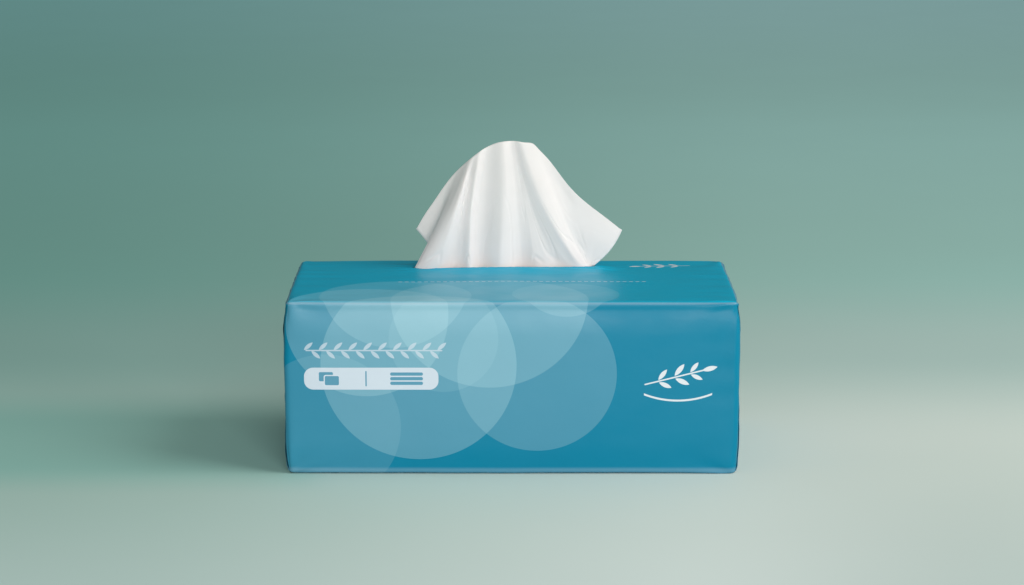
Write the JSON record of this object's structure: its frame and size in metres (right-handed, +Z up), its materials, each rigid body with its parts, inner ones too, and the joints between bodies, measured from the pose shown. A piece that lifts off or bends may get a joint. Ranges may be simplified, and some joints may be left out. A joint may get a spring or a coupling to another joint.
{
  "type": "soft film pack of facial tissues",
  "caption": "Pillowed oblong film pack with envelope-folded ends, open along a slit in its top, where a gathered paper tissue stands up.",
  "frame": {"origin": "middle of the pack's footprint, on the surface it stands on", "axes": "+Z up, +X along the pack's length, printed front towards -Y"},
  "size_m": [0.2062, 0.1038, 0.139],
  "materials": {
    "printed_film": "satin printed polyethylene film",
    "folded_tissue": "soft creped two-ply tissue",
    "drawn_tissue": "soft creped two-ply tissue"
  },
  "bodies": {
    "root": {"film_wrap": "printed_film", "tissue_stack": "folded_tissue", "pulled_tissue": "drawn_tissue"}
  },
  "joints": []
}
